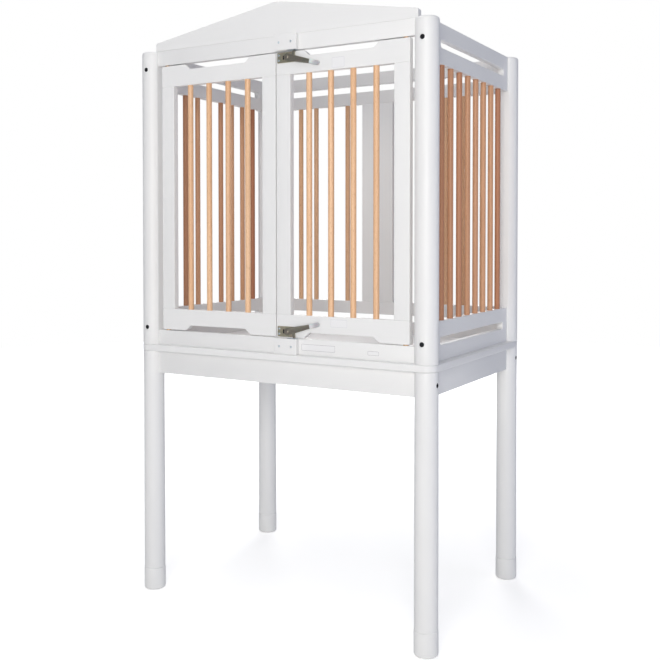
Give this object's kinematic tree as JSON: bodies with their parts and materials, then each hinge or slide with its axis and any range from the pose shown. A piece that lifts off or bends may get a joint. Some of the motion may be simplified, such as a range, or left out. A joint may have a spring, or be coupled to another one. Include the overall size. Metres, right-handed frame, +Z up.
{
  "type": "raised nursery cot",
  "caption": "Raised white cot on tall legs: slatted cabin with beech bars, hinged front doors with lever latches, hand slots and a gabled board.",
  "frame": {"origin": "on the floor, at the middle between the four legs", "axes": "+X to the right along the front, +Y from the doors to the back, +Z up"},
  "size_m": [1.017, 0.707, 1.805],
  "materials": {
    "lacquered_wood": "satin white lacquer, closed pore",
    "foot_lacquer": "satin white lacquer, turned",
    "beech": "clear satin varnish over turned beech",
    "zinc_steel": "yellowish zinc plate, brushed",
    "bright_screws": "bluish zinc plate",
    "brass": "dull brass",
    "milky_plastic": "milky soft plastic",
    "black_bolts": "black oxide"
  },
  "bodies": {
    "frame": {"post_front_left": "lacquered_wood", "post_front_right": "lacquered_wood", "post_back_left": "lacquered_wood", "post_back_right": "lacquered_wood", "leg_front_left": "lacquered_wood", "leg_front_right": "lacquered_wood", "leg_back_left": "lacquered_wood", "leg_back_right": "lacquered_wood", "foot_front_left": "foot_lacquer", "foot_front_right": "foot_lacquer", "foot_back_left": "foot_lacquer", "foot_back_right": "foot_lacquer", "platform_board": "lacquered_wood", "apron_front": "lacquered_wood", "apron_back": "lacquered_wood", "apron_left": "lacquered_wood", "apron_right": "lacquered_wood", "front_top_rail": "lacquered_wood", "front_pediment": "lacquered_wood", "front_bottom_rail": "lacquered_wood", "back_top_rail": "lacquered_wood", "back_bottom_rail": "lacquered_wood", "back_centre_board": "lacquered_wood", "back_bars": "beech", "left_top_rail": "lacquered_wood", "left_bottom_rail": "lacquered_wood", "left_bars": "beech", "right_top_rail": "lacquered_wood", "right_bottom_rail": "lacquered_wood", "right_bars": "beech", "hinge_pins": "brass", "hinge_washers": "brass", "top_strike_block": "lacquered_wood", "bottom_strike_block": "lacquered_wood", "strike_plates": "zinc_steel", "strike_screws": "bright_screws", "frame_bolts": "black_bolts", "barrel_nuts": "zinc_steel", "corner_studs": "zinc_steel", "frame_dowels": "beech"},
    "left_door": {"left_door_top_rail": "lacquered_wood", "left_door_bottom_rail": "lacquered_wood", "left_door_hinge_stile": "lacquered_wood", "left_door_closing_stile": "lacquered_wood", "left_door_bars": "beech", "left_door_dowels": "beech"},
    "right_door": {"right_door_top_rail": "lacquered_wood", "right_door_bottom_rail": "lacquered_wood", "right_door_hinge_stile": "lacquered_wood", "right_door_closing_stile": "lacquered_wood", "right_door_bars": "beech", "right_door_dowels": "beech", "top_latch_plate": "zinc_steel", "bottom_latch_plate": "zinc_steel", "latch_pivots": "zinc_steel", "latch_screws": "bright_screws"},
    "top_latch": {"top_latch_lever": "zinc_steel", "top_latch_grip": "milky_plastic"},
    "bottom_latch": {"bottom_latch_lever": "zinc_steel", "bottom_latch_grip": "milky_plastic"}
  },
  "joints": [
    {"name": "left_door_hinge", "type": "hinge", "parent": "frame", "child": "left_door", "pos_m": [-0.414, -0.32, 1.244], "axis": [0, 0, 1], "range_deg": [-130, 0]},
    {"name": "right_door_hinge", "type": "hinge", "parent": "frame", "child": "right_door", "pos_m": [0.414, -0.32, 1.244], "axis": [0, 0, 1], "range_deg": [0, 130]},
    {"name": "top_latch_turn", "type": "hinge", "parent": "right_door", "child": "top_latch", "pos_m": [0.042, -0.332, 1.64], "axis": [0, -1, 0], "range_deg": [0, 14]},
    {"name": "bottom_latch_turn", "type": "hinge", "parent": "right_door", "child": "bottom_latch", "pos_m": [0.042, -0.332, 0.848], "axis": [0, 1, 0], "range_deg": [0, 14]}
  ]
}
